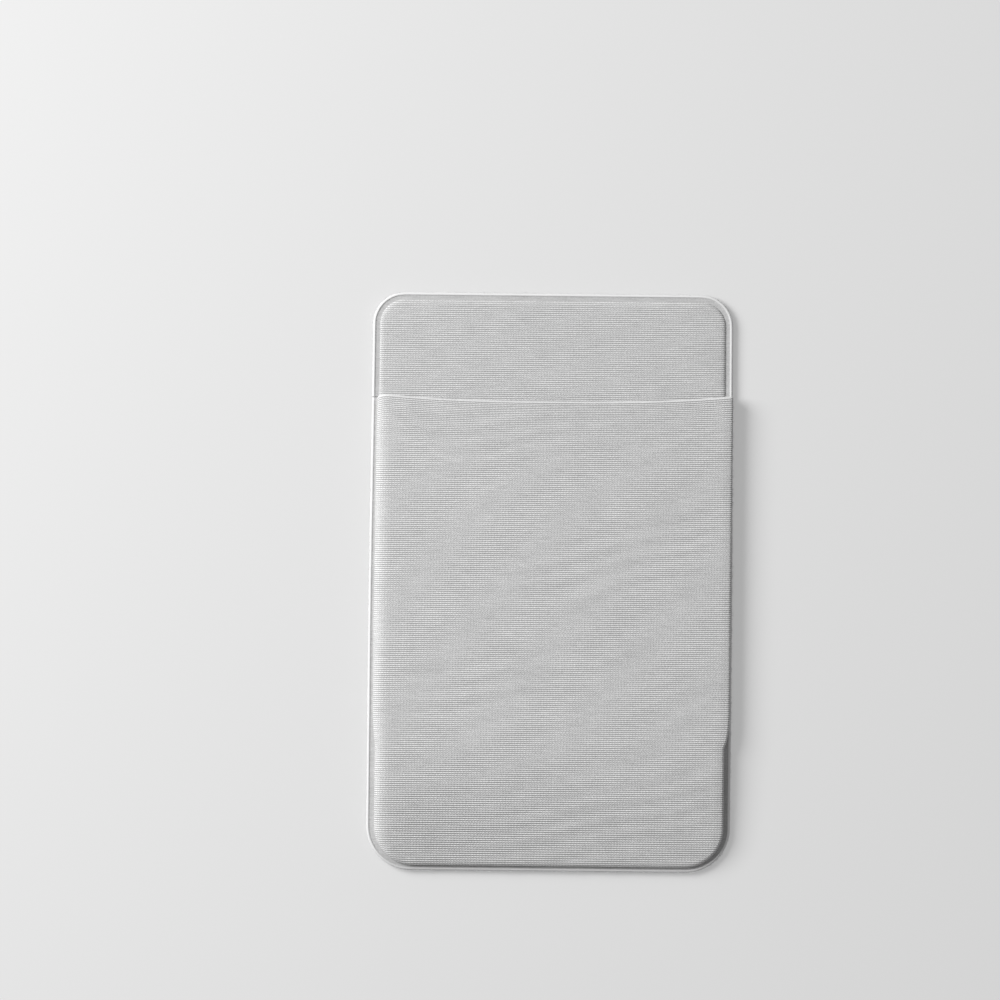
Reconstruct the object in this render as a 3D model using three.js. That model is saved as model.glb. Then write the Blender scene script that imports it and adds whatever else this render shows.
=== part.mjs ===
// A stick-on card holder for the back of a phone: a pocket of stretch knit, folded double at its
// mouth and heat-pressed at its edge onto a padded knit back panel, with adhesive behind it.
// The pocket keeps the form that it has round a card, which sits a little to the right.
// Sizes are in millimetres. X runs across, Y towards the mouth and Z out of the front. The origin
// is the middle of the adhesive's face.
import * as THREE from 'three'
import { mergeVertices } from 'three/addons/utils/BufferGeometryUtils.js'

const { clamp, lerp, smoothstep } = THREE.MathUtils

// The card's room inside the pocket
const cardWidth = 54
const cardClearance = 0.8
const cardRoomHeight = 1.1
const cardRoomOffset = 0.4 // to the right of the middle
const cardEndFromCut = 19.75 // from the closed end's cut edge up to the card's end

// Cut outline of both knit layers
const seamAllowance = 1.25 // from the card's room to the cut edge, each side
const panelLength = 91
const mouthEndTaper = 0.3 // how much narrower each side is at the mouth end
const taperLength = 40
const mouthEndRadius = 5
const closedEndRadius = 7

// Layers, from the back
const adhesiveThickness = 0.2
const adhesiveMargin = 2
const padThickness = 1
const padEdgeRun = 0.8 // how wide the pad's rounded edge is beside the groove
const padGap = 0.3 // between the pad's edge and the pocket's wall
const seatThickness = 0.4 // the back panel where the pocket is pressed onto it
const flangeThickness = 0.3 // the pocket's own pressed edge
const wallThickness = 0.4 // the pocket where it is stretched round the card's sides
const pocketThickness = 0.6 // its front, two plies of knit

// Pressed seam: a low rim along the cut edge, and a groove inside it
const rimWidth = 0.45
const rimRise = 0.12
const rimRounding = 0.15
const grooveWidth = 0.4
const freeGrooveWidth = 0.7 // above the mouth, where no wall stands beside it

// Pocket mouth: a folded edge that dips in the middle
const mouthFromCut = 15.85 // from the mouth end's cut edge down to the mouth's two ends
const mouthDip = 1.15
const mouthDipPower = 2.7 // how flat the dip's middle is: 2 would be a parabola
const mouthCornerRound = 0.7
const mouthEaseLength = 12 // how far down the pocket the dip fades out
const mouthGap = 0.3 // between the pocket's pressed ends and the back panel's full rim
const stepRun = 0.15

// Pocket walls and front. A shoulder runs from a wall's outermost line to the flat front: it is
// slack on the left, and tight on the right, where the card presses.
const slackShoulderRun = 2
const tightShoulderRun = 0.8
const emptyShoulderRun = 2.2 // on the right, past the card's end
const closedEndShoulderRun = 0.9
const wallSpring = 0.3 // share of its height over which a wall leaves the groove straight
const wallStepIn = 0.35 // how much further in the wall stands past the card's end
const wallLean = 0.15 // how far the slack wall past the card leans in over its lower half
const wallCreep = 0.12 // how far the pocket's empty end has moved to the right with the card
const slackSideKink = 7 // length of the bend at the card's corner, on the slack left side
const tightSideKink = 6.5
const slackBendPower = 1.8 // how suddenly each bend ends at the card's corner
const tightBendPower = 3
const closedEndSlack = 0.1 // room under the front where it meets the closed end's wall

// Fineness of the facets
const cornerSteps = 8
const wallSteps = 7
const foldSteps = 3
const padEdgeSteps = 3
const bendRowPitch = 1
const sideRowPitch = 4
const frontColumns = 16

// Values that follow from the sizes above
const cardRoomWidth = cardWidth + cardClearance
const panelWidth = cardRoomWidth + 2 * seamAllowance
const halfWidth = panelWidth / 2
const halfLength = panelLength / 2
const grooveEnd = rimWidth + grooveWidth
const panelBack = adhesiveThickness
const seatTop = panelBack + seatThickness
const grooveFloor = seatTop + flangeThickness
const rimTop = grooveFloor + rimRise
const padTop = panelBack + padThickness
const frontTop = padTop + cardRoomHeight + pocketThickness
const closedEndTop = padTop + closedEndSlack + pocketThickness
const cardEnd = cardEndFromCut - halfLength
const mouthEnd = halfLength - mouthFromCut
const cornerStart = closedEndRadius - halfLength
const closedEndShoulder = grooveEnd + closedEndShoulderRun - halfLength

// Half the outline's width at a height: it eases in towards the mouth end
const sideAt = (y) => halfWidth - mouthEndTaper * smoothstep(y, mouthEnd - taperLength, halfLength)

// A station is a point of the cut outline with the direction that leads straight in from it
const station = (x, y, inX, inY) => ({ x, y, inX, inY })

const at = ({ x, y, inX, inY }, inset, z) => new THREE.Vector3(x + inX * inset, y + inY * inset, z)

function corner(centreX, centreY, radius, startAngle) {
  return Array.from({ length: cornerSteps + 1 }, (_, step) => {
    const angle = startAngle + (step / cornerSteps) * (Math.PI / 2)
    const outX = Math.cos(angle)
    const outY = Math.sin(angle)
    return station(centreX + radius * outX, centreY + radius * outY, -outX, -outY)
  })
}

// The outline below the mouth, as a U: down the left side, along the closed end, up the right.
// The side's heights run downwards and stop short of the corner.
function lowerOutline(sideHeights) {
  const cornerX = halfWidth - closedEndRadius
  const left = sideHeights.map((y) => station(-sideAt(y), y, 1, 0))
  const right = [...sideHeights].reverse().map((y) => station(sideAt(y), y, -1, 0))
  const closedEnd = Array.from({ length: frontColumns - 1 }, (_, step) =>
    station(lerp(-cornerX, cornerX, (step + 1) / frontColumns), -halfLength, 0, 1))
  const leftCorner = corner(-cornerX, cornerStart, closedEndRadius, Math.PI)
  const rightCorner = corner(cornerX, cornerStart, closedEndRadius, 1.5 * Math.PI)
  return [...left, ...leftCorner, ...closedEnd, ...rightCorner, ...right]
}

function upperOutline() {
  const cornerY = halfLength - mouthEndRadius
  const cornerX = sideAt(cornerY) - mouthEndRadius
  return [...corner(cornerX, cornerY, mouthEndRadius, 0),
    ...corner(-cornerX, cornerY, mouthEndRadius, Math.PI / 2)]
}

// How far along the bend at the card's corner a station lies: 0 beside the card, 1 past its end
function pastCard({ x, y }) {
  const [kink, power] = x < 0 ? [slackSideKink, slackBendPower] : [tightSideKink, tightBendPower]
  return clamp(1 - (y - cardEnd) / kink, 0, 1) ** power
}

// Where a wall rises from the groove. The two sides step in past the card, and the closed end
// doesn't.
function wallFoot(place) {
  const creep = wallCreep * (place.x / halfWidth)
  return grooveEnd + pastCard(place) * Math.abs(place.inX) * (wallStepIn - creep)
}

// How far a wall's shoulder runs, from the slack left side round the closed end to the right one
function shoulderRun(place) {
  if (place.inX > 0) return lerp(closedEndShoulderRun, slackShoulderRun, place.inX)
  const sideRun = lerp(tightShoulderRun, emptyShoulderRun, pastCard(place))
  return lerp(closedEndShoulderRun, sideRun, -place.inX)
}

// Height of the pocket's front: level over the card, then falling faster and faster
function frontHeight(y) {
  const share = clamp((cardEnd - y) / (cardEnd - closedEndShoulder), 0, 1)
  return lerp(frontTop, closedEndTop, share ** 2)
}

// The wall's outer curve, as inset from the cut edge against height. It passes through its
// outermost line, the crest, halfway up, and overhangs the groove where the card presses on it.
function wallCurve(place) {
  const past = pastCard(place)
  const foot = wallFoot(place)
  const roomEdge = sideAt(place.y) - Math.sign(place.x) * cardRoomOffset - cardRoomWidth / 2
  const lean = wallLean * Math.max(place.inX, 0)
  const crest = lerp(roomEdge - wallThickness, foot + lean, past)
  const shoulder = crest + shoulderRun(place)
  const handle = (8 * crest - foot - shoulder) / 6
  const top = frontHeight(place.y + place.inY * shoulder)
  return new THREE.CubicBezierCurve(
    new THREE.Vector2(foot, grooveFloor),
    new THREE.Vector2(handle, lerp(grooveFloor, top, wallSpring)),
    new THREE.Vector2(handle, top),
    new THREE.Vector2(shoulder, top))
}

// One section of the pocket from the cut edge to the front, as pairs of an outer and an inner
// point. The pressed flange lies flat on its seat, and the wall thickens towards the front.
function pocketSection(place) {
  const wall = wallCurve(place)
  const foot = wallFoot(place)
  const rimInner = rimWidth - rimRounding
  const pair = (inset, top, under) => [new THREE.Vector2(inset, top), new THREE.Vector2(under, seatTop)]
  const flange = [
    pair(0, rimTop - rimRounding, 0),
    pair(rimRounding, rimTop, rimRounding),
    pair(rimInner, rimTop, rimInner),
    pair(rimWidth, grooveFloor, rimWidth),
    pair(foot, grooveFloor, foot + wallThickness),
  ]
  const rising = Array.from({ length: wallSteps }, (_, step) => {
    const share = (step + 1) / wallSteps
    const outer = wall.getPoint(share)
    const along = wall.getTangent(share)
    const thickness = lerp(wallThickness, pocketThickness, clamp(2 * share - 1, 0, 1))
    return [outer, new THREE.Vector2(outer.x + along.y * thickness, outer.y - along.x * thickness)]
  })
  return [...flange, ...rising]
}

// Even rows from one height down to another, without the first
function rowsDown(from, to, pitch) {
  const count = Math.max(1, Math.round((from - to) / pitch))
  return Array.from({ length: count }, (_, row) => lerp(from, to, (row + 1) / count))
}

const bendTop = cardEnd + slackSideKink
const bendRows = () => [bendTop, ...rowsDown(bendTop, cardEnd, bendRowPitch)]

// Rows down the pocket's side: the fold's own, then even ones, with close ones round the bend
function pocketSideRows() {
  const foldRadius = pocketThickness / 2
  const fold = Array.from({ length: foldSteps + 1 }, (_, step) =>
    mouthEnd - foldRadius * (1 - Math.cos((step / foldSteps) * (Math.PI / 2))))
  const level = rowsDown(fold[foldSteps], bendTop, sideRowPitch).slice(0, -1)
  const last = rowsDown(cardEnd, cornerStart, sideRowPitch).slice(0, -1)
  return [...fold, ...level, ...bendRows(), ...last]
}

// The fold opens over its first rows, from one shared edge to the knit's full thickness
const foldOpening = (row) => Math.sin((Math.min(row, foldSteps) / foldSteps) * (Math.PI / 2))

// Moves a point down from a straight mouth line into the dipped and round-cornered one.
// cornerShare is 0 on the front and on the flange, and 1 at a wall's foot.
function dipMouth(point, cornerShare) {
  const dip = mouthDip * (1 - Math.abs(point.x / halfWidth) ** mouthDipPower)
  const round = mouthCornerRound * (1 - Math.sqrt(1 - cornerShare ** 2))
  const fade = clamp((point.y - mouthEnd) / mouthEaseLength + 1, 0, 1) ** 2
  point.y -= (dip + round) * fade
  return point
}

// Triangles of a strip between two rows of points, facing out for rows that run anticlockwise
// with the first outside the second
function strip(outside, inside) {
  const triangles = []
  for (let i = 0; i + 1 < outside.length; i += 1) {
    triangles.push([outside[i], outside[i + 1], inside[i + 1]])
    triangles.push([outside[i], inside[i + 1], inside[i]])
  }
  return triangles
}

const turned = (triangles) => triangles.map(([a, b, c]) => [a, c, b])

function filled(loop) {
  const flat = loop.map(({ x, y }) => new THREE.Vector2(x, y))
  return THREE.ShapeUtils.triangulateShape(flat, []).map((face) => face.map((i) => loop[i]))
}

// One closed geometry from triangles, with their shared corners joined and empty ones left out
function closedBody(triangles) {
  const loose = new THREE.BufferGeometry().setFromPoints(triangles.flat())
  const body = mergeVertices(loose)
  const corners = body.getIndex().array
  const kept = []
  for (let i = 0; i < corners.length; i += 3) {
    const [a, b, c] = corners.slice(i, i + 3)
    if (a !== b && b !== c && c !== a) kept.push(a, b, c)
  }
  body.setIndex(kept)
  body.computeVertexNormals()
  return body
}

function knit(colour) {
  return new THREE.MeshStandardMaterial({ color: colour, roughness: 0.9, metalness: 0 })
}

// Sheet of double-sided adhesive, a little smaller than the back panel
function adhesiveSheet() {
  const outline = [...lowerOutline([]), ...upperOutline()]
  const shape = new THREE.Shape(outline.map((place) => {
    const { x, y } = at(place, adhesiveMargin, 0)
    return new THREE.Vector2(x, y)
  }))
  const geometry = new THREE.ExtrudeGeometry(shape, { depth: adhesiveThickness, bevelEnabled: false })
  geometry.deleteAttribute('normal')
  geometry.deleteAttribute('uv')
  const body = mergeVertices(geometry)
  body.computeVertexNormals()
  const film = new THREE.MeshStandardMaterial({ color: '#dcdad2', roughness: 0.35, metalness: 0 })
  return new THREE.Mesh(body, film)
}

// Padded back panel: flat behind, with a rim and a groove along its free edge, a lower flat seat
// where the pocket is pressed onto it, and the pad's raised field inside them
function backPanel() {
  const stepFoot = mouthEnd + mouthGap
  const stepHead = stepFoot + stepRun
  const outline = [...lowerOutline([stepHead, stepFoot, ...bendRows()]), ...upperOutline()]
  const seatEnd = (place) => wallFoot(place) + wallThickness + padGap
  const free = (inset, top) => () => [inset, top]
  const seat = (inset) => () => [inset, seatTop]
  const rimInner = rimWidth - rimRounding
  const freeGrooveEnd = rimWidth + freeGrooveWidth
  const padEdge = Array.from({ length: padEdgeSteps }, (_, step) => {
    const angle = ((step + 1) / padEdgeSteps) * (Math.PI / 2)
    const run = padEdgeRun * (1 - Math.cos(angle))
    const rise = Math.sin(angle)
    return [free(freeGrooveEnd + run, lerp(grooveFloor, padTop, rise)),
      (place) => [seatEnd(place) + run, lerp(seatTop, padTop, rise)]]
  })
  const profile = [
    [free(0, panelBack), () => [0, panelBack]],
    [free(0, rimTop - rimRounding), seat(0)],
    [free(rimRounding, rimTop), seat(rimRounding)],
    [free(rimInner, rimTop), seat(rimInner)],
    [free(rimWidth, grooveFloor), seat(rimWidth)],
    [free(freeGrooveEnd, grooveFloor), (place) => [seatEnd(place), seatTop]],
    ...padEdge,
  ]
  const rings = profile.map(([freePart, seatPart]) => outline.map((place) => {
    const section = place.y > stepFoot ? freePart : seatPart
    return at(place, ...section(place))
  }))
  const closed = (ring) => [...ring, ring[0]]
  const skin = rings.slice(1).flatMap((inner, k) => strip(closed(rings[k]), closed(inner)))
  const back = turned(filled(rings[0]))
  const field = filled(rings[rings.length - 1])
  return new THREE.Mesh(closedBody([...back, ...skin, ...field]), knit('#bfbfbf'))
}

// Front pocket: its pressed flange and walls follow the outline in a U, and the front is a grid
// of rows between the two walls that ends along the closed end's wall
function frontPocket() {
  const places = lowerOutline(pocketSideRows())
  const rows = (places.length - 1 - frontColumns) / 2
  const openingAt = (index) => foldOpening(Math.min(index, places.length - 1 - index))
  const columns = places.map((place, index) => pocketSection(place).map(([top, under]) => {
    const foot = wallFoot(place)
    const shoulder = wallCurve(place).v3.x
    const share = clamp((shoulder - top.x) / (shoulder - foot), 0, 1)
    const cornerShare = top.x < foot ? 0 : share
    const outer = dipMouth(at(place, top.x, top.y), cornerShare)
    const inner = dipMouth(at(place, under.x, under.y), cornerShare)
    const middle = outer.clone().lerp(inner, 0.5)
    const opening = openingAt(index)
    return [middle.clone().lerp(outer, opening), middle.clone().lerp(inner, opening)]
  }))
  const ringCount = columns[0].length
  const ring = (k, face) => columns.map((column) => column[k][face])

  const edge = ring(ringCount - 1, 0)
  const front = Array.from({ length: rows + 1 }, (_, row) => {
    if (row === rows) return edge.slice(rows, rows + frontColumns + 1)
    const left = edge[row]
    const right = edge[edge.length - 1 - row]
    return Array.from({ length: frontColumns + 1 }, (__, column) => {
      const share = column / frontColumns
      if (share === 0) return left
      if (share === 1) return right
      const y = places[row].y + places[row].inY * wallCurve(places[row]).v3.x
      const folded = (1 - openingAt(row)) * pocketThickness / 2
      return dipMouth(new THREE.Vector3(lerp(left.x, right.x, share), y, frontHeight(y) - folded), 0)
    })
  })
  const lining = front.map((row, j) => row.map((point, i) => {
    if (j === rows) return ring(ringCount - 1, 1)[rows + i]
    if (i === 0) return ring(ringCount - 1, 1)[j]
    if (i === frontColumns) return ring(ringCount - 1, 1)[edge.length - 1 - j]
    return new THREE.Vector3(point.x, point.y, point.z - openingAt(j) * pocketThickness)
  }))

  const triangles = []
  for (let k = 0; k + 1 < ringCount; k += 1) {
    triangles.push(...strip(ring(k, 0), ring(k + 1, 0)))
    triangles.push(...turned(strip(ring(k, 1), ring(k + 1, 1))))
  }
  for (let row = 0; row < rows; row += 1) {
    triangles.push(...strip(front[row + 1], front[row]))
    triangles.push(...turned(strip(lining[row + 1], lining[row])))
  }
  triangles.push(...turned(strip(ring(0, 0), ring(0, 1))))
  return new THREE.Mesh(closedBody(triangles), knit('#c4c4c4'))
}

const group = new THREE.Group()
const pieces = { adhesive_sheet: adhesiveSheet(), back_panel: backPanel(), front_pocket: frontPocket() }
for (const [name, mesh] of Object.entries(pieces)) {
  mesh.name = name
  group.add(mesh)
}

export default group
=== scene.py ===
import math

import bpy
import numpy as np
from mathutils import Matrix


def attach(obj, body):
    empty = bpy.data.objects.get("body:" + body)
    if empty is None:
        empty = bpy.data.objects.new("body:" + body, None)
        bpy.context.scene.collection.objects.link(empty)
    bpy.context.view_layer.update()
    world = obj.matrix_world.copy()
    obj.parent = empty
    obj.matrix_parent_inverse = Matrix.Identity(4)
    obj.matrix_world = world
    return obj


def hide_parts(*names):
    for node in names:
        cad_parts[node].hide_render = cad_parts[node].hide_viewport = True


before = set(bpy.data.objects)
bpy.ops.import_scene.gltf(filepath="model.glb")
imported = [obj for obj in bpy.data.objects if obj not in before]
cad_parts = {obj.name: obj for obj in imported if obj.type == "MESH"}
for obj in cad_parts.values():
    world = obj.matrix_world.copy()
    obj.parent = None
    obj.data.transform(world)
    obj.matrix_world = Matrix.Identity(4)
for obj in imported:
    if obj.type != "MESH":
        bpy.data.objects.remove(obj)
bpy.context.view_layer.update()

# Camera
# The holder lies flat and was photographed from straight above with a long lens, so none of its
# sides shows. It lies a little right of and below the middle of the picture, and is turned by
# half a degree or so.
picture_pixels, pixels_per_mm = 1000, 6.348
cut_edge_height_mm = 1
picture_width_mm = picture_pixels / pixels_per_mm
lens_mm, sensor_mm = 150, 36
right_of_middle_mm, below_middle_mm = 50.45 / pixels_per_mm, 82.5 / pixels_per_mm
turn = math.radians(0.6)
camera_data = bpy.data.cameras.new("camera")
camera_data.lens, camera_data.sensor_width = lens_mm, sensor_mm
camera_data.clip_start, camera_data.clip_end = 0.01, 20
camera = bpy.data.objects.new("camera", camera_data)
bpy.context.scene.collection.objects.link(camera)
camera.location = (
    (-right_of_middle_mm * math.cos(turn) - below_middle_mm * math.sin(turn)) / 1000,
    (-right_of_middle_mm * math.sin(turn) + below_middle_mm * math.cos(turn)) / 1000,
    (picture_width_mm * lens_mm / sensor_mm + cut_edge_height_mm) / 1000)
camera.rotation_euler = (0, 0, turn)
bpy.context.scene.camera = camera
bpy.context.scene.view_settings.view_transform = "Standard"

# Adhesive sheet
# Clear double-sided film, die-cut a little smaller than the holder and rolled onto its back. A
# tissue carrier inside it shows as faint milky fibres. It lies hidden under the panel.
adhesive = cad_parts["adhesive_sheet"]


def linear(hex_colour):
    """An sRGB hex colour as linear red, green, blue and alpha."""
    parts = [int(hex_colour[i:i + 2], 16) / 255 for i in (1, 3, 5)]
    return tuple(p / 12.92 if p <= 0.04045 else ((p + 0.055) / 1.055) ** 2.4 for p in parts) + (1,)


def add(material, kind, inputs=(), **settings):
    """Adds a node to a material, with its settings, and its inputs as values or as links."""
    tree = material.node_tree
    made = tree.nodes.new(kind)
    for name, value in settings.items():
        setattr(made, name, value)
    for name, value in dict(inputs).items():
        if isinstance(value, bpy.types.NodeSocket):
            tree.links.new(value, made.inputs[name])
        else:
            made.inputs[name].default_value = value
    return made


def finish_of(name):
    """A new material with its Principled shader."""
    material = bpy.data.materials.new(name)
    material.use_nodes = True
    return material, material.node_tree.nodes["Principled BSDF"]


# Acrylic adhesive on a tissue carrier, with its liner peeled off: off-white, a little glossy, with
# tissue fibres about 1.4 mm long and half as far apart.
fibres_a_metre, film_relief = (700, 1500, 700), 0.00003
film, film_shader = finish_of("acrylic_adhesive_on_tissue")
place = add(film, "ShaderNodeTexCoord")
stretch = add(film, "ShaderNodeMapping", {"Vector": place.outputs["Object"], "Scale": fibres_a_metre})
tissue = add(film, "ShaderNodeTexNoise",
             {"Vector": stretch.outputs["Vector"], "Scale": 1, "Detail": 4, "Distortion": 1.2})
milk = add(film, "ShaderNodeMix", {"Factor": tissue.outputs["Fac"], "A": linear("#cfccc2"),
                                   "B": linear("#e9e7e0")}, data_type="RGBA")
grip = add(film, "ShaderNodeBump", {"Height": tissue.outputs["Fac"], "Strength": 0.4,
                                    "Distance": film_relief})
for socket, source in {"Base Color": milk.outputs["Result"], "Normal": grip.outputs["Normal"]}.items():
    film.node_tree.links.new(source, film_shader.inputs[socket])
film_shader.inputs["Roughness"].default_value = 0.32
film_shader.inputs["IOR"].default_value = 1.47
adhesive.material_slots[0].material = film

# Padded back panel
# Grey polyester-spandex knit laminated to a thin foam and die-cut with round corners. A hot tool
# pressed its edge into a low rim and a groove, and left the pad raised inside them. The pocket is
# pressed onto a flatter seat below the mouth. Sizes are in millimetres, as in the part's source.
room_width, room_offset = 54.8, 0.4
half_width, half_length = 28.65, 45.5
mouth_end_taper, taper_length = 0.3, 40
mouth_end, mouth_dip, mouth_dip_power, mouth_corner_round = 29.65, 1.15, 2.7, 0.7
mouth_radius, closed_radius = 5, 7
low_end = closed_radius - half_length  # here the straight sides end and the lower corners begin
room_end = -25.75
seat_top, groove_floor, rim_top, pad_top = 0.6, 0.9, 1.02, 1.2
wall_thickness, pad_gap, pad_edge_run = 0.4, 0.3, 0.8
groove_end, free_groove_end = 0.85, 1.15
wall_step_in, wall_creep = 0.35, 0.12
slack_kink, tight_kink = 7, 6.5
slack_bend_power, tight_bend_power = 1.8, 3
past_the_bend = -40.0  # at this height the walls have stepped in as far as they do

# One course is one row of stitches across the knit. Measured in the photograph: 3 courses to a
# millimetre, a little wider apart at both ends, where the knit is stretched lengthwise.
course_heights = (-45.5, -38, -25, 10, 29.65, 45.5)
course_pitches = (0.345, 0.345, 0.317, 0.317, 0.328, 0.330)
wale_pitch = 0.45  # from one column of stitches to the next
rows_a_course, rib_roundness = 4, 0.6
knit_reach, knit_step = 46.5, 0.01
corner_samples, rounding_error = 2001, 1e-6


def eased(value, low, high):
    """A smooth step from 0 at low to 1 at high."""
    share = np.clip((value - low) / (high - low), 0, 1)
    return share * share * (3 - 2 * share)


def side_at(y):
    """Half the holder's width at a height: it narrows a little towards the mouth."""
    return half_width - mouth_end_taper * eased(y, mouth_end - taper_length, half_length)


# The number of courses from the mouth down to each of many heights
fine_heights = np.linspace(knit_reach, -knit_reach, round(2 * knit_reach / knit_step) + 1)
fine_courses = np.cumsum(knit_step / np.interp(fine_heights, course_heights, course_pitches))
fine_courses -= np.interp(-mouth_end, -fine_heights, fine_courses)


def course_of(y):
    """How many courses lie between the mouth and a height on the flat knit."""
    return np.interp(-np.asarray(y, float), -fine_heights, fine_courses)


def course_rows(high, low):
    """Heights of the mesh rows from high down to low, at each quarter of a course."""
    first, last = course_of(high), course_of(low)
    steps = np.arange(math.ceil(first * rows_a_course + rounding_error),
                      last * rows_a_course - rounding_error)
    return np.interp(steps / rows_a_course, fine_courses, fine_heights)


def wall_foot(x, y, inward):
    """Where the wall rises from the groove, and how far past the walls' bend that is, 0 to 1."""
    kink = np.where(x < 0, slack_kink, tight_kink)
    power = np.where(x < 0, slack_bend_power, tight_bend_power)
    past = np.clip(1 - (y - room_end) / kink, 0, 1) ** power
    return groove_end + past * np.abs(inward) * (wall_step_in - wall_creep * x / half_width), past


def inward_at(x):
    """How squarely the outline faces sideways at the closed end's corners, from -1 to 1."""
    return -np.sign(x) * np.clip((np.abs(x) - half_width + closed_radius) / closed_radius, 0, 1)


def corner_places(side, end, radius, reach, rows):
    """Places round a corner of the cut outline, from its straight side on. Their angles are such
    that the points at the inset named reach lie at the wanted heights."""
    centre_y = end * (half_length - radius)
    centre_x = side * (side_at(centre_y) - radius)
    angle = np.linspace(0, math.pi / 2, corner_samples)
    x = centre_x + side * radius * np.cos(angle)
    height = centre_y + end * (radius - reach(x)) * np.sin(angle)
    angle = np.interp(np.abs(rows), np.abs(height), angle)
    return np.stack([centre_x + side * radius * np.cos(angle),
                     centre_y + end * radius * np.sin(angle),
                     -side * np.cos(angle), -end * np.sin(angle)], axis=1)


def low_corner_rows(side, inset_at, count):
    """Heights of the rows round a lower corner, down to the inset of the straight closed end."""
    deepest = inset_at(np.array([side * (half_width - closed_radius)]))[0] - half_length
    return np.linspace(low_end, deepest, count + 1)[1:]


def side_places(side, rows):
    """Places on a straight side of the cut outline. Each is an x, a y and the way inward there."""
    return np.stack([side * side_at(rows), rows, np.full(len(rows), -side, float),
                     np.zeros(len(rows))], axis=1)


def end_places(end, radius, columns):
    """Places along a straight end of the outline, between its two corners, from left to right."""
    corner_x = side_at(end * (half_length - radius)) - radius
    x = np.linspace(-corner_x, corner_x, columns + 1)[1:-1]
    return np.stack([x, np.full(len(x), end * half_length), np.zeros(len(x)),
                     np.full(len(x), -end, float)], axis=1)


def section_points(places, insets, heights):
    """Points of each place's section: places x rings x 3."""
    x = places[:, 0, None] + places[:, 2, None] * insets
    y = places[:, 1, None] + places[:, 3, None] * insets
    return np.stack([x, y, np.broadcast_to(heights, x.shape)], axis=2)


def rib(course):
    """The round back of a course and the narrow valley beside it, from -1 to 1."""
    wave = np.cos(2 * math.pi * course)
    return np.where(wave < 0, wave, np.abs(wave) ** rib_roundness)


def numbered(start, rows, columns):
    """A table of vertex numbers, counted from start."""
    return start + np.arange(rows * columns).reshape(rows, columns)


def grid_quads(table):
    """Faces of a table of vertex numbers, facing up where rows run away and columns to the left."""
    a, b, c, d = table[:-1, :-1], table[:-1, 1:], table[1:, 1:], table[1:, :-1]
    return np.stack([a, b, c, d], axis=-1).reshape(-1, 4)


# Cut yarn ends. Each has a root inside the edge, a bend and a tip, and is drawn about twice as
# thick as a real one so that it shows.
fibre_radii = (0.024, 0.02, 0.008)
least_reach, usual_reach, most_reach = 0.07, 0.11, 0.42
root_depth, bend_share, curl_share = 0.04, 0.55, 0.45
sideways_spread, rise_middle, rise_spread = 0.7, 0.05, 0.35
side_curl, up_curl = 0.5, 0.4
upward = np.array([0, 0, 1])
no_fibres_way = (0.3, 0.2, 0.93)


def fibre_ends(outline, lowest, highest, count, seed):
    """Points and faces of bent fibres along an outline, each a closed body with three sides. Their
    roots lie between the two heights, and the higher one may differ from place to place."""
    outline = np.column_stack([outline, np.broadcast_to(highest, len(outline))])
    random = np.random.default_rng(seed)
    steps = np.hypot(*np.diff(outline[:, :2], axis=0).T)
    travelled = np.concatenate([[0], np.cumsum(steps)])
    at = random.uniform(0, travelled[-1], count)
    x, y, in_x, in_y, high = (np.interp(at, travelled, column) for column in outline.T)
    out = -np.stack([in_x, in_y, np.zeros(count)], axis=1)
    along = np.stack([-in_y, in_x, np.zeros(count)], axis=1)
    lean = random.normal(0, sideways_spread, (count, 1))
    rise = random.normal(rise_middle, rise_spread, (count, 1))
    way = out + along * lean + upward * rise
    way /= np.linalg.norm(way, axis=1)[:, None]
    curl = along * random.normal(0, side_curl, (count, 1))
    curl += upward * random.normal(0, up_curl, (count, 1))
    reach = random.exponential(usual_reach, (count, 1)) + least_reach
    reach = np.clip(reach, least_reach, most_reach)
    root = np.stack([x, y, random.uniform(lowest, high)], axis=1) - root_depth * out
    bend = root + way * reach * bend_share
    tip = root + way * reach + curl * reach * curl_share
    side_a = np.cross(way, no_fibres_way)
    side_a /= np.linalg.norm(side_a, axis=1)[:, None]
    side_b = np.cross(way, side_a)
    rounds = []
    for centre, radius in zip((root, bend, tip), fibre_radii):
        for turn_share in (0, 1 / 3, 2 / 3):
            around = 2 * math.pi * turn_share
            rounds.append(centre + radius * (math.cos(around) * side_a + math.sin(around) * side_b))
    points = np.stack(rounds, axis=1).reshape(-1, 3)
    one = [(0, 2, 1), (6, 7, 8)]
    for k in (0, 3):
        one += [(k + i, k + (i + 1) % 3, k + 3 + (i + 1) % 3, k + 3 + i) for i in range(3)]
    faces = [[9 * fibre + corner for corner in face] for fibre in range(count) for face in one]
    return points, faces


def with_cut_ends(fibres, points, faces, stitches, pressed, fray_and_highlight):
    """Joins cut yarn ends to a piece of knit. They take the pale cut-yarn colour all over and are not
    pressed.
    """
    fibre_points, fibre_faces = fibres
    faces = faces + [[len(points) + corner for corner in face] for face in fibre_faces]
    points = np.concatenate([points, fibre_points])
    stitches = np.concatenate([stitches, np.zeros((len(fibre_points), 2))])
    pressed = np.concatenate([pressed, np.zeros(len(fibre_points))])
    fray_and_highlight = np.concatenate([fray_and_highlight, np.ones(len(fibre_points))])
    return points, faces, stitches, pressed, fray_and_highlight


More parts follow.
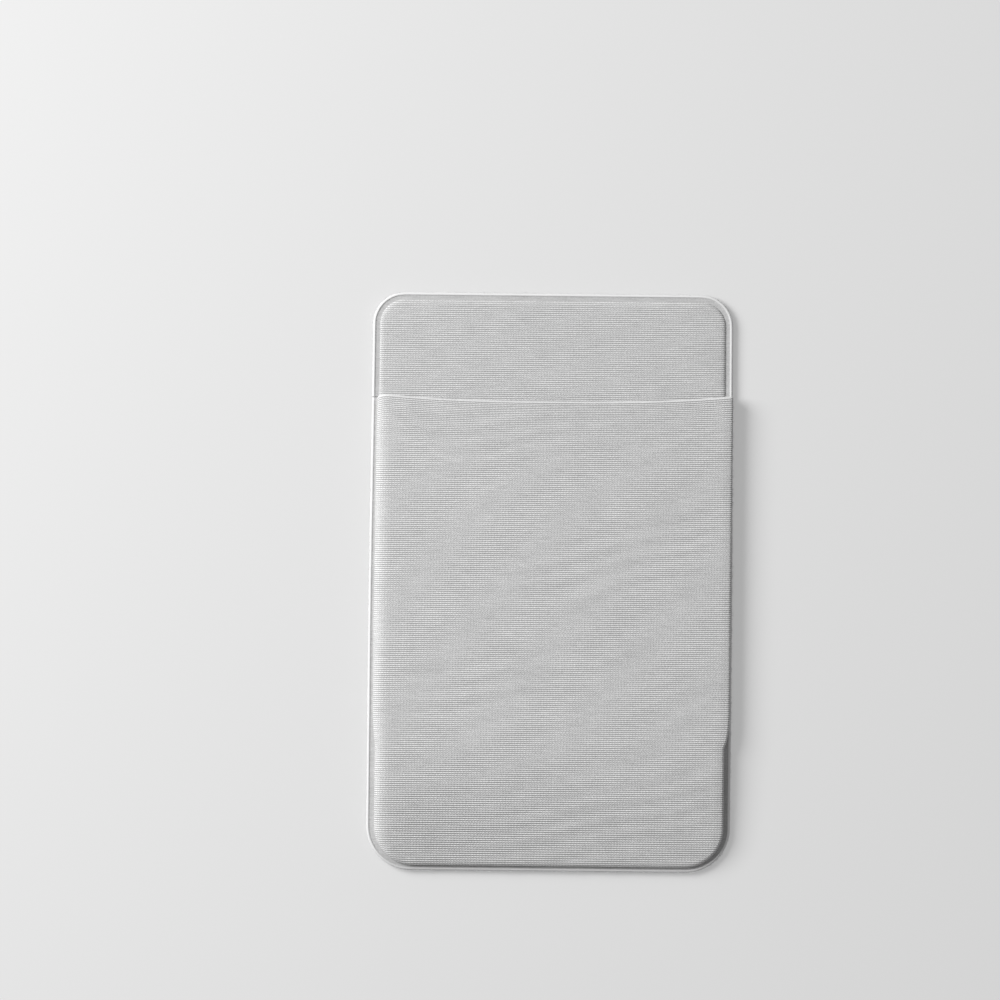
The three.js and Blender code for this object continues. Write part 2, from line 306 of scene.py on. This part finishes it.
def knit_piece(name, points, faces, stitches, pressed, fray_and_highlight, gap_shade, material):
    """A mesh object from points in millimetres, with its stitches as wales and courses in a UV map, and
    how far each point is pressed flat, pale with fray and painted highlight, and darkened by painted
    shade in its gaps, from 0 to 1."""
    mesh = bpy.data.meshes.new(name)
    mesh.from_pydata((points / 1000).tolist(), [], [list(map(int, face)) for face in faces])
    corners = np.empty(len(mesh.loops), np.int32)
    mesh.loops.foreach_get("vertex_index", corners)
    layer = mesh.uv_layers.new(name="stitches")
    layer.data.foreach_set("uv", np.asarray(stitches, np.float32)[corners].ravel())
    for attribute, values in {"pressed": pressed, "fray_and_highlight": fray_and_highlight, "gap_shade": gap_shade}.items():
        layer = mesh.attributes.new(attribute, "FLOAT", "POINT")
        layer.data.foreach_set("value", np.asarray(values, np.float32))
    mesh.polygons.foreach_set("use_smooth", np.ones(len(mesh.polygons), bool))
    mesh.materials.append(material)
    mesh.validate()
    made = bpy.data.objects.new(name, mesh)
    bpy.context.scene.collection.objects.link(made)
    return made


# The knit's pattern, in wales across and courses along. The yarn's streaks are about 6 wales long
# and a course high. The wales stray with them, and each course arches over its loops.
streak_scale = (0.16, 1.1, 1)
wale_wander, course_arch = 1.6, 0.16
# Pressed knit shows a fixed mix of the loops' colour and the painted shade between loops. Weaker beads
# let more of that painted shade show between wales.
loop_edges, weakest_bead, pressed_tone = (-1, 0.5), 0.7, 0.4
cell_scale, cloud_scale, fluff_scale = 1.7, 0.06, 6
fluff_share, knit_relief = 0.5, 0.00004
# The first colour is painted shade for the gaps between courses near the closed end. The second is the
# pale colour of cut yarn and of painted highlights.
darker_gap_shade, cut_yarn_and_highlight = "#6e6e6e", "#e4e4e4"


def stretch_knit(name, back_of_stitch, shade_between_stitches):
    """Polyester-spandex weft knit with its purl side out: matt, with the round backs of the loops in
    courses and painted shade between them, and the yarn's own streaks and soft fibres on top."""
    knit, shader = finish_of(name)
    stitches = add(knit, "ShaderNodeUVMap", uv_map="stitches")
    flat = stitches.outputs["UV"]
    split = add(knit, "ShaderNodeSeparateXYZ", {"Vector": flat})
    wales, courses = split.outputs["X"], split.outputs["Y"]
    along = add(knit, "ShaderNodeMapping", {"Vector": flat, "Scale": streak_scale})
    streak = add(knit, "ShaderNodeTexNoise", {"Vector": along.outputs["Vector"], "Scale": 1,
                 "Detail": 3, "Roughness": 0.7})
    strayed = add(knit, "ShaderNodeMath", {0: streak.outputs["Fac"], 1: wale_wander, 2: wales},
                  operation="MULTIPLY_ADD")
    half_turn = add(knit, "ShaderNodeMath", {0: strayed.outputs[0], 1: math.pi}, operation="MULTIPLY")
    swing = add(knit, "ShaderNodeMath", {0: half_turn.outputs[0]}, operation="SINE")
    arc = add(knit, "ShaderNodeMath", {0: swing.outputs[0]}, operation="ABSOLUTE")
    arched = add(knit, "ShaderNodeMath", {0: arc.outputs[0], 1: course_arch, 2: courses},
                 operation="MULTIPLY_ADD")
    turned = add(knit, "ShaderNodeMath", {0: arched.outputs[0], 1: 2 * math.pi}, operation="MULTIPLY")
    wave = add(knit, "ShaderNodeMath", {0: turned.outputs[0]}, operation="COSINE")
    loop = add(knit, "ShaderNodeMapRange", {"Value": wave.outputs[0], "From Min": loop_edges[0],
               "From Max": loop_edges[1], "To Min": 0, "To Max": 1}, interpolation_type="SMOOTHSTEP")
    beads = add(knit, "ShaderNodeMapRange", {"Value": arc.outputs[0], "From Min": 0, "From Max": 1,
                "To Min": weakest_bead, "To Max": 1})
    bead = add(knit, "ShaderNodeMath", {0: loop.outputs[0], 1: beads.outputs[0]}, operation="MULTIPLY")
    pressing = add(knit, "ShaderNodeAttribute", attribute_name="pressed")
    loop_back = add(knit, "ShaderNodeMix", {"Factor": pressing.outputs["Fac"], "A": bead.outputs[0],
                    "B": pressed_tone})
    cell = add(knit, "ShaderNodeTexNoise", {"Vector": flat, "Scale": cell_scale, "Detail": 2})
    cloud = add(knit, "ShaderNodeTexNoise", {"Vector": flat, "Scale": cloud_scale, "Detail": 2})
    uneven = add(knit, "ShaderNodeMath", {0: streak.outputs["Fac"], 1: cell.outputs["Fac"]},
                 operation="ADD")
    tone = add(knit, "ShaderNodeMapRange", {"Value": uneven.outputs[0], "From Min": 0.6,
               "From Max": 1.4, "To Min": 0.8, "To Max": 1.2})
    drift = add(knit, "ShaderNodeMapRange", {"Value": cloud.outputs["Fac"], "From Min": 0.3,
                "From Max": 0.7, "To Min": 0.97, "To Max": 1.03})
    both = add(knit, "ShaderNodeMath", {0: tone.outputs[0], 1: drift.outputs[0]}, operation="MULTIPLY")
    # Painted shade in the gaps between courses, darker towards the closed end.
    gap_shading = add(knit, "ShaderNodeAttribute", attribute_name="gap_shade")
    valley = add(knit, "ShaderNodeMix", {"Factor": gap_shading.outputs["Fac"],
                 "A": linear(shade_between_stitches), "B": linear(darker_gap_shade)}, data_type="RGBA")
    # The loops' own colour over the painted shade between them.
    yarn = add(knit, "ShaderNodeMix", {"Factor": loop_back.outputs["Result"],
               "A": valley.outputs["Result"], "B": linear(back_of_stitch)}, data_type="RGBA")
    shaded = add(knit, "ShaderNodeHueSaturation", {"Color": yarn.outputs["Result"],
                 "Value": both.outputs[0]})
    # The pale colour of cut yarn, which on the rim and the folded mouth is also a painted highlight.
    fray_and_highlight_share = add(knit, "ShaderNodeAttribute", attribute_name="fray_and_highlight")
    edged = add(knit, "ShaderNodeMix", {"Factor": fray_and_highlight_share.outputs["Fac"],
                "A": shaded.outputs["Color"], "B": linear(cut_yarn_and_highlight)}, data_type="RGBA")
    fluff = add(knit, "ShaderNodeTexNoise", {"Vector": flat, "Scale": fluff_scale, "Detail": 3})
    height = add(knit, "ShaderNodeMath", {0: fluff.outputs["Fac"], 1: fluff_share,
                 2: loop_back.outputs["Result"]}, operation="MULTIPLY_ADD")
    relief = add(knit, "ShaderNodeBump", {"Height": height.outputs[0], "Strength": 0.8,
                 "Distance": knit_relief})
    knit.node_tree.links.new(edged.outputs["Result"], shader.inputs["Base Color"])
    knit.node_tree.links.new(relief.outputs["Normal"], shader.inputs["Normal"])
    shader.inputs["Roughness"].default_value = 0.88
    shader.inputs["Specular IOR Level"].default_value = 0.3
    shader.inputs["Sheen Weight"].default_value = 0.12
    shader.inputs["Sheen Roughness"].default_value = 0.5
    return knit


# The second colour is painted shade between the loops.
panel_knit = stretch_knit("grey_polyester_knit_on_foam", "#dedede", "#a6a6a6")

panel_columns, panel_corner_rows, pad_steps = 24, 11, 5
panel_rib_height, pressed_rib_share = 0.018, 0.15
ribs_full, ribs_end, groove_slack = mouth_end - 3, mouth_end - 5, 0.1
panel_reach = free_groove_end + pad_edge_run

# The rim steps down to the seat just above the pocket's flange. Rows of the mesh keep a small gap
# from the rows that the shape needs, and lie further apart where nothing shows.
step_clear, step_height, step_gap, least_gap = 0.05, 0.08, 0.05, 0.02
step_foot = mouth_end - mouth_corner_round + step_clear
step_head = step_foot + step_height
coarse_row, bend_row, bend_top = 1.5, 0.5, room_end + 7.5


def panel_inset(x):
    """How far in from the cut edge the pad's flat field begins, past the bend."""
    foot = wall_foot(x, np.full_like(x, past_the_bend), inward_at(x))[0]
    return foot + wall_thickness + pad_gap + pad_edge_run


top_rows = course_rows(half_length - panel_reach - least_gap, half_length - mouth_radius)
free_rows = course_rows(half_length - mouth_radius, step_head + step_gap)
inner_rows = np.concatenate([[step_head, step_foot], course_rows(step_foot - step_gap, ribs_end),
                             np.arange(ribs_end - coarse_row, bend_top + bend_row, -coarse_row),
                             np.arange(bend_top, room_end - bend_row / 2, -bend_row),
                             np.arange(room_end - coarse_row, low_end, -coarse_row)])


def panel_side(side):
    """Places down one side of the panel, with the corners at both of its ends."""
    head = corner_places(side, 1, mouth_radius, lambda x: np.full_like(x, panel_reach),
                         np.concatenate([[half_length - panel_reach], top_rows]))
    return np.concatenate([head, side_places(side, np.concatenate([free_rows, inner_rows])),
                           corner_places(side, -1, closed_radius, panel_inset,
                                         low_corner_rows(side, panel_inset, panel_corner_rows))])


left, right = panel_side(-1), panel_side(1)
side_count = len(left)
loop = np.concatenate([left, end_places(-1, closed_radius, panel_columns), right[::-1],
                       end_places(1, mouth_radius, panel_columns)[::-1]])
free_edge = loop[:, 1] > step_foot + rounding_error

# The panel's section from its back edge over the rim and the groove to the pad, as insets from the cut
# edge and heights, and how pale each of the rim's points is, with fray and a painted highlight. A ring
# close to the pad's foot keeps the groove flat.
foot_gap = 0.06
edge_back = [(0, 0.22), (0, 0.60)]
rim_profile = [(0, 0.82), (0.05, 0.91), (0.12, 0.97), (0.20, 1.005), (0.29, rim_top), (0.36, 1.01),
               (0.42, 0.96), (0.47, 0.91)]
rim_fray_and_highlight = (0.5, 0.8, 1, 1, 1, 0.7, 0.3, 0)
flat_edge = np.array([*edge_back, *rim_profile, (0.56, groove_floor),
                      (free_groove_end - foot_gap, groove_floor), (free_groove_end, groove_floor)])
pad_turn = np.linspace(0, math.pi / 2, pad_steps + 1)[1:]
pad_run, pad_rise = pad_edge_run * (1 - np.cos(pad_turn)), np.sin(pad_turn)
free_inset = np.concatenate([flat_edge[:, 0], free_groove_end + pad_run])
free_height = np.concatenate([flat_edge[:, 1], groove_floor + (pad_top - groove_floor) * pad_rise])
seat_foot = wall_foot(loop[:, 0], loop[:, 1], loop[:, 2])[0]
seat_start = (seat_foot + wall_thickness + pad_gap)[:, None]
seat_inset = np.concatenate([np.repeat(flat_edge[None, :-1, 0], len(loop), axis=0), seat_start,
                             seat_start + pad_run], axis=1)
seat_height = np.concatenate([np.minimum(flat_edge[:, 1], seat_top),
                              seat_top + (pad_top - seat_top) * pad_rise])
rings = section_points(loop, np.where(free_edge[:, None], free_inset, seat_inset),
                       np.where(free_edge[:, None], free_height, seat_height))

# The pad's field is a grid between its left and right edges. The rings come first in the piece's
# points, the field's inner points after them.
right_side = slice(side_count + panel_columns - 1, 2 * side_count + panel_columns - 1)
first, last = rings[:side_count, -1], rings[right_side, -1][::-1]
share = np.linspace(0, 1, panel_columns + 1)[1:-1]
field = first[1:-1, None] + (last[1:-1, None] - first[1:-1, None]) * share[None, :, None]
field[:, :, 2] = pad_top
ring_numbers = numbered(0, *rings.shape[:2])
field_numbers = numbered(ring_numbers.size, *field.shape[:2])
edge_numbers = ring_numbers[:, -1]
left_numbers, right_numbers = edge_numbers[:side_count], edge_numbers[right_side][::-1]
low_numbers = edge_numbers[side_count:right_side.start]
high_numbers = edge_numbers[right_side.stop:][::-1]
middle = np.concatenate([high_numbers[None], field_numbers, low_numbers[None]])
table = np.concatenate([left_numbers[:, None], middle, right_numbers[:, None]], axis=1)
points = np.concatenate([rings.reshape(-1, 3), field.reshape(-1, 3)])

# Flat coordinates on the knit: across in wales, and lengthwise in courses
stitches = np.stack([points[:, 0] / wale_pitch, course_of(points[:, 1])], axis=1)
pressed = np.zeros(len(points), bool)
pressed[ring_numbers[:, :len(flat_edge)]] = True
on_top = points[:, 2] > groove_floor - groove_slack
ribbed = on_top * eased(points[:, 1], ribs_end, ribs_full)
ribbed *= np.where(pressed, pressed_rib_share, 1)
points[:, 2] += panel_rib_height * rib(stitches[:, 1]) * ribbed
around = np.concatenate([ring_numbers, ring_numbers[:1]])
faces = [*grid_quads(table[:, ::-1]).tolist(), *grid_quads(around[:, ::-1]).tolist(),
         ring_numbers[::-1, 0].tolist()]
# The rim is pale with fray and a painted highlight.
fray_and_highlight = np.zeros(len(points))
fray_and_highlight[ring_numbers[:, len(edge_back):len(edge_back) + len(rim_profile)]] = rim_fray_and_highlight

# Yarn ends stand out of the foam's cut edge, up to the rim or, beside the pocket, to the seat
foam_low, seat_edge_top, free_edge_top, panel_fibres = 0.30, 0.55, 0.96, 900
edge_top = np.where(free_edge, free_edge_top, seat_edge_top)
points, faces, stitches, pressed, fray_and_highlight = with_cut_ends(
    fibre_ends(loop, foam_low, edge_top, panel_fibres, seed=4), points, faces, stitches, pressed, fray_and_highlight)
panel = knit_piece("padded_back_panel", points, faces, stitches, pressed, fray_and_highlight,
                   np.zeros(len(points)), panel_knit)
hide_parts("back_panel")
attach(panel, "root")

# Front pocket
# One piece of the same knit, folded double so that the fold is its mouth, and pressed onto the
# panel along the two sides and the closed end. Use has stretched it, so the walls stand up round
# the room inside and step in at that room's end, where the front slopes down to the closed end.
pocket_thickness, wall_spring, wall_lean = 0.6, 0.3, 0.15
slack_shoulder, tight_shoulder, closed_end_run = 2, 0.4, 0.9
pressed_out = 0.2
front_top, closed_end_top = 2.9, 1.9
closed_end_shoulder = groove_end + closed_end_run - half_length
mouth_ease = 12  # over this length below the mouth the courses go from its curve to straight
rib_height, closed_rib_fade = 0.02, 0.25
tension_pitch, tension_height, tension_turn, tension_start = 4.0, 0.038, 0.0036, -28
tension_edge = (1, 6)
fold_steps, wall_steps, pocket_corner_rows, front_columns = 6, 10, 52, 40
lining_clear, lining_row_step, lining_corner_step = 0.005, 30, 6
# The folded mouth's edge gets a painted highlight. The rim's pale colour, fray and painted highlight, is
# weaker at the closed end, which paints shade there.
fold_highlight, closed_end_highlight_loss = 0.65, 0.5

# The second colour is painted shade between the loops.
pocket_knit = stretch_knit("grey_stretch_polyester_knit", "#e2e2e2", "#a2a2a2")


def front_height(y):
    """The front's level: flat over the room inside, then falling towards the closed end."""
    fallen = np.clip((room_end - y) / (room_end - closed_end_shoulder), 0, 1)
    return front_top + (closed_end_top - front_top) * fallen ** 2


def shoulder_run(inward):
    """How far a shoulder runs: slack and wide on the left, tight and sharp on the right."""
    side_run = np.where(inward > 0, slack_shoulder, tight_shoulder)
    return closed_end_run + (side_run - closed_end_run) * np.abs(inward)


def pocket_reach(x):
    """How far in from the cut edge the shoulder ends, past the bend."""
    inward = inward_at(x)
    foot = wall_foot(x, np.full_like(x, past_the_bend), inward)[0]
    return foot + wall_lean * np.clip(inward, 0, 1) + shoulder_run(inward)


def pocket_side(side, rows):
    """Places down one side of the pocket, with the corner at its lower end."""
    low_rows = low_corner_rows(side, pocket_reach, pocket_corner_rows)
    return np.concatenate([side_places(side, rows),
                           corner_places(side, -1, closed_radius, pocket_reach, low_rows)])


fold_turn = np.linspace(0, math.pi / 2, fold_steps + 1)
fold_rows = mouth_end - pocket_thickness / 2 * (1 - np.cos(fold_turn))
long_rows = np.concatenate([fold_rows, course_rows(fold_rows[-1] - least_gap, low_end)])
left, right = pocket_side(-1, long_rows), pocket_side(1, long_rows)
side_count = len(left)
places = np.concatenate([left, end_places(-1, closed_radius, front_columns), right[::-1]])
row_of_place = np.minimum(np.arange(len(places)), np.arange(len(places))[::-1])
opening = np.sin(fold_turn)[np.minimum(row_of_place, fold_steps)]

# Each place's wall is a cubic curve from the groove over its crest to the shoulder
foot, past = wall_foot(places[:, 0], places[:, 1], places[:, 2])
room_edge = side_at(places[:, 1]) - np.sign(places[:, 0]) * room_offset - room_width / 2
lean = wall_lean * np.clip(places[:, 2], 0, 1)
room_crest = room_edge - wall_thickness - np.where(places[:, 0] > 0, pressed_out, 0)
crest = (1 - past) * room_crest + past * (foot + lean)
shoulder = crest + shoulder_run(places[:, 2])
handle = (8 * crest - foot - shoulder) / 6
top = front_height(places[:, 1] + places[:, 3] * shoulder)
curve_share = np.linspace(0, 1, wall_steps + 1)[1:]
weights = np.stack([(1 - curve_share) ** 3, 3 * curve_share * (1 - curve_share) ** 2,
                    3 * curve_share ** 2 * (1 - curve_share), curve_share ** 3])
spring = groove_floor + (top - groove_floor) * wall_spring
wall_inset = np.stack([foot, handle, handle, shoulder], axis=1) @ weights
wall_height = np.stack([np.full_like(top, groove_floor), spring, top, top], axis=1) @ weights

# The flange at its foot has the panel's rim and groove. The lining lies on the seat under the
# flange, and follows the wall at the wall's thickness, which grows to the folded front's.
least_length = 1e-9
edge_profile = np.array([(0, 0.74), *rim_profile, (0.58, groove_floor)])
edge_count = len(edge_profile)
edge_inset, edge_height = (np.tile(column, (len(places), 1)) for column in edge_profile.T)
outer_inset = np.concatenate([edge_inset, foot[:, None] - foot_gap, foot[:, None], wall_inset], axis=1)
outer_height = np.concatenate([edge_height, np.full((len(places), 2), groove_floor), wall_height],
                              axis=1)
ring_count = outer_inset.shape[1]
along_inset, along_height = np.gradient(outer_inset, axis=1), np.gradient(outer_height, axis=1)
length = np.hypot(along_inset, along_height) + least_length
normal_inset, normal_height = -along_height / length, along_inset / length
grown = np.clip(2 * curve_share - 1, 0, 1)
thick = np.concatenate([np.zeros(edge_count), [0, wall_thickness],
                        wall_thickness + (pocket_thickness - wall_thickness) * grown])
inner_inset = outer_inset - normal_inset * thick
inner_height = outer_height - normal_height * thick
inner_inset[:, :edge_count + 1] = outer_inset[:, :edge_count + 1]
inner_height[:, :edge_count + 1] = seat_top
inner_inset[:, edge_count + 1] = foot + wall_thickness
inner_height[:, edge_count + 1] = seat_top + lining_clear
on_wall = np.arange(ring_count) > edge_count

# Flat coordinates on the knit are kept from before it is dipped and stretched: the course at each
# place's shoulder, and from there on the way walked down the wall. Past the closed end the courses
# go on as far apart as they are there.
last_course_height = 46.4
steps_down = np.hypot(np.diff(outer_inset, axis=1), np.diff(outer_height, axis=1))
walked = np.cumsum(steps_down[:, ::-1], axis=1)[:, ::-1]
walked = np.concatenate([walked, np.zeros((len(places), 1))], axis=1)
flat_x = places[:, 0, None] + places[:, 2, None] * (shoulder[:, None] - walked)
flat_y = places[:, 1, None] + places[:, 3, None] * (shoulder[:, None] - walked)
past_end = np.maximum(-flat_y - last_course_height, 0)
ring_courses = course_of(flat_y) + past_end / course_pitches[0]


def dipped(points, corner_share):
    """Moves points down from a straight mouth line into the real one, and rounds its two corners."""
    dip = mouth_dip * (1 - np.abs(points[..., 0] / half_width) ** mouth_dip_power)
    rounding = mouth_corner_round * (1 - np.sqrt(1 - corner_share ** 2))
    fade = np.clip((points[..., 1] - mouth_end) / mouth_ease + 1, 0, 1) ** 2
    points[..., 1] -= (dip + rounding) * fade
    return points


def tension(x, y):
    """Shallow bands that the stretch makes in the knit. They run level on the left and turn
    up towards the right, 4 mm apart. Longer waves, in radians to a millimetre, make them uneven."""
    bend = y - tension_turn * (x - tension_start) ** 2
    wander = 0.35 * np.sin(bend * 0.31 + x * 0.05) + 0.25 * np.sin(x * 0.21 + y * 0.13 + 1.7)
    strength = 0.7 + 0.3 * np.sin(0.11 * x - 0.17 * y + 0.6)
    within = eased(half_width - np.abs(x), *tension_edge) * (1 - eased(y, ribs_full, mouth_end))
    return tension_height * strength * within * np.sin(2 * math.pi * (bend / tension_pitch + wander))


def pocket_skin(insets, heights):
    """One skin of the walls and the flange. The mouth line rounds off down each wall's end."""
    down_the_wall = np.clip((shoulder[:, None] - insets) / (shoulder - foot)[:, None], 0, 1)
    return dipped(section_points(places, insets, heights), np.where(on_wall, down_the_wall, 1))


outer_ring, inner_ring = pocket_skin(outer_inset, outer_height), pocket_skin(inner_inset, inner_height)
half_open = opening[:, None, None]
centre_ring = (outer_ring + inner_ring) / 2
outer_ring = centre_ring + (outer_ring - centre_ring) * half_open
inner_ring = centre_ring + (inner_ring - centre_ring) * half_open

# The courses stand out from the sides and the front, and fade on the closed end's steep wall
turned_wall = np.abs(places[:, 3])
closed_fade = 1 - eased(turned_wall, 0, closed_rib_fade)[:, None]
rib_fade = np.where(on_wall, 1, pressed_rib_share)
rib_fade = rib_fade * np.where(np.arange(ring_count) == ring_count - 1, 1, closed_fade)
lift = rib_height * rib(ring_courses) * rib_fade * opening[:, None]
lift[:, 0] = 0
outward = np.stack([places[:, 2, None] * normal_inset, places[:, 3, None] * normal_inset,
                    normal_height], axis=2)
outer_ring = outer_ring + outward * lift[:, :, None]

# The front, in rows from one shoulder to the other
ends = np.arange(len(places))[::-1]
across = np.linspace(0, 1, front_columns + 1)[1:-1]
shoulder_y = places[:, 1] + places[:, 3] * shoulder
shoulder_x = places[:, 0] + places[:, 2] * shoulder
rows = np.arange(side_count - 1)
x = shoulder_x[rows, None] + (shoulder_x[ends[rows], None] - shoulder_x[rows, None]) * across
y = shoulder_y[rows, None] + (shoulder_y[ends[rows], None] - shoulder_y[rows, None]) * across
front_courses = course_of(y)
row_opening = opening[rows, None]
closed = (1 - row_opening) * pocket_thickness / 2
upper = np.stack([x, y, front_height(y) - closed], axis=2)
lower = np.stack([x, y, front_height(y) - closed - row_opening * pocket_thickness], axis=2)
upper, lower = dipped(upper, 0), dipped(lower, 0)
upper[:, :, 2] += row_opening * (rib_height * rib(front_courses) + tension(x, y))

# The outer skin's points, then the coarser lining's. Both share the folded edge, their first row.
kept_rows = np.unique(np.concatenate([np.arange(fold_steps + 1),
                                      np.arange(fold_steps, len(long_rows), lining_row_step),
                                      np.arange(len(long_rows), side_count, lining_corner_step),
                                      [side_count - 1]]))
kept = np.concatenate([kept_rows, np.arange(side_count, side_count + front_columns - 1),
                       ends[kept_rows][::-1]])
inside, lining_rows = kept[1:-1], kept_rows[1:-1]
outer_numbers = numbered(0, len(places), ring_count)
front_numbers = numbered(outer_numbers.size, *upper.shape[:2])
inner_numbers = numbered(outer_numbers.size + front_numbers.size, len(inside), ring_count)
lining_numbers = numbered(outer_numbers.size + front_numbers.size + inner_numbers.size,
                          len(lining_rows), front_columns - 1)
points = np.concatenate([outer_ring.reshape(-1, 3), upper.reshape(-1, 3),
                         inner_ring[inside].reshape(-1, 3), lower[lining_rows].reshape(-1, 3)])
courses = np.concatenate([ring_courses.ravel(), front_courses.ravel(), -ring_courses[inside].ravel(),
                          -front_courses[lining_rows].ravel()])
flat_across = np.concatenate([flat_x.ravel(), x.ravel(), flat_x[inside].ravel(),
                              x[lining_rows].ravel()])
stitches = np.stack([flat_across / wale_pitch, courses], axis=1)
inner_numbers = np.concatenate([outer_numbers[:1], inner_numbers, outer_numbers[-1:]])
lining_numbers = np.concatenate([front_numbers[:1], lining_numbers])


def pocket_table(ring_numbers, front, last_row):
    """Vertex numbers of the front with its two shoulders, and of the closed end's shoulder."""
    edge = ring_numbers[:, -1]
    rows = np.concatenate([edge[:last_row, None], front, edge[::-1][:last_row, None]], axis=1)
    return np.concatenate([rows, edge[None, last_row:last_row + front.shape[1] + 2]])


outer_table = pocket_table(outer_numbers, front_numbers, side_count - 1)
inner_table = pocket_table(inner_numbers, lining_numbers, len(kept_rows) - 1)
faces = grid_quads(outer_table[:, ::-1]).tolist() + grid_quads(outer_numbers[:, ::-1]).tolist()
faces += grid_quads(inner_table).tolist() + grid_quads(inner_numbers).tolist()

# The cut edge between the two skins, where many outer points meet few inner ones
for a, b in zip(range(len(kept) - 1), range(1, len(kept))):
    outer_run = outer_numbers[kept[a]:kept[b] + 1, 0]
    middle = len(outer_run) // 2
    near, far = inner_numbers[a, 0], inner_numbers[b, 0]
    faces += [[near, outer_run[i + 1], outer_run[i]] for i in range(middle) if near != outer_run[i]]
    faces.append([near, far, outer_run[middle]])
    faces += [[far, outer_run[i + 1], outer_run[i]] for i in range(middle, len(outer_run) - 1)
              if far != outer_run[i + 1]]
pressed = np.zeros(len(points))
pressed[outer_numbers[:, 1:edge_count + 2]] = 1
# The rim is pale with fray and a painted highlight, less of it at the closed end, and the folded mouth
# gets a painted highlight.
fray_and_highlight = np.zeros(len(points))
rim_highlight_share = 1 - closed_end_highlight_loss * turned_wall[:, None]
fray_and_highlight[outer_numbers[:, 1:1 + len(rim_profile)]] = rim_highlight_share * rim_fray_and_highlight
folded = slice(0, fold_steps + 1)
for numbers in (front_numbers, outer_numbers[:, on_wall], outer_numbers[::-1, on_wall]):
    fray_and_highlight[numbers[folded]] = fold_highlight

# Yarn ends stand out of the flange's cut edge too
flange_low, flange_high, pocket_fibres = 0.72, 0.98, 1300
points, faces, stitches, pressed, fray_and_highlight = with_cut_ends(
    fibre_ends(places, flange_low, flange_high, pocket_fibres, seed=7), points, faces, stitches,
    pressed, fray_and_highlight)

# Towards the closed end, most on the left, the valleys between the courses take a darker colour: painted
# shade for the front falling away from the lamp there. Each pair says where a change begins and where it
# ends.
down_the_front, across_the_front, off_left_wall = (20, 42), (-20, 15), (-28, -23)
most_gap_shade, lost_on_right = 0.75, 0.4
gap_shade = eased(-points[:, 1], *down_the_front)
gap_shade *= most_gap_shade - lost_on_right * eased(points[:, 0], *across_the_front)
gap_shade *= eased(points[:, 0], *off_left_wall)
pocket = knit_piece("stretch_knit_pocket", points, faces, stitches, pressed, fray_and_highlight, gap_shade,
                    pocket_knit)
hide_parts("front_pocket")
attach(pocket, "root")

# Floor and light
# A pale matt table, a large soft lamp low on the left and a little towards the mouth, and weak
# light from all round. The floor looks white to the camera and keeps the holder's shadow.
floor_half, floor_drop, floor_glow = 1.5, 0.00005, 0.3
floor_mesh = bpy.data.meshes.new("floor")
floor_corners = [(across * floor_half, along * floor_half, -floor_drop)
                 for across, along in ((-1, -1), (1, -1), (1, 1), (-1, 1))]
floor_mesh.from_pydata(floor_corners, [], [(0, 1, 2, 3)])
floor = bpy.data.objects.new("floor", floor_mesh)
bpy.context.scene.collection.objects.link(floor)
table_top, table_shader = finish_of("matt_white_board")
table_shader.inputs["Base Color"].default_value = linear("#d2d2d2")
table_shader.inputs["Roughness"].default_value = 0.9
seen = add(table_top, "ShaderNodeLightPath")
direct = add(table_top, "ShaderNodeMath", {0: seen.outputs["Is Camera Ray"],
             1: seen.outputs["Is Glossy Ray"]}, operation="MAXIMUM")
share_of_glow = add(table_top, "ShaderNodeMath", {0: direct.outputs[0], 1: floor_glow},
                    operation="MULTIPLY")
glow = add(table_top, "ShaderNodeEmission", {"Color": (1, 1, 1, 1), "Strength": 1})
lit = add(table_top, "ShaderNodeMixShader", {"Fac": share_of_glow.outputs[0],
          1: table_shader.outputs[0], 2: glow.outputs[0]})
table_surface = table_top.node_tree.nodes["Material Output"].inputs["Surface"]
table_top.node_tree.links.new(lit.outputs[0], table_surface)
floor_mesh.materials.append(table_top)

world = bpy.data.worlds.new("studio")
world.use_nodes = True
world.node_tree.nodes["Background"].inputs["Color"].default_value = (1, 1, 1, 1)
world.node_tree.nodes["Background"].inputs["Strength"].default_value = 0.27
bpy.context.scene.world = world

# The lamp looks at the holder's middle. Its azimuth runs anticlockwise from +X.
lamp_azimuth, lamp_elevation, lamp_distance = math.radians(154), math.radians(36), 0.7
lamp_data = bpy.data.lights.new("key", "AREA")
lamp_data.size, lamp_data.energy = 0.38, 6.3
lamp = bpy.data.objects.new("key", lamp_data)
lamp.location = (lamp_distance * math.cos(lamp_elevation) * math.cos(lamp_azimuth),
                 lamp_distance * math.cos(lamp_elevation) * math.sin(lamp_azimuth),
                 lamp_distance * math.sin(lamp_elevation))
lamp.rotation_euler = lamp.location.to_track_quat("Z", "Y").to_euler()
bpy.context.scene.collection.objects.link(lamp)
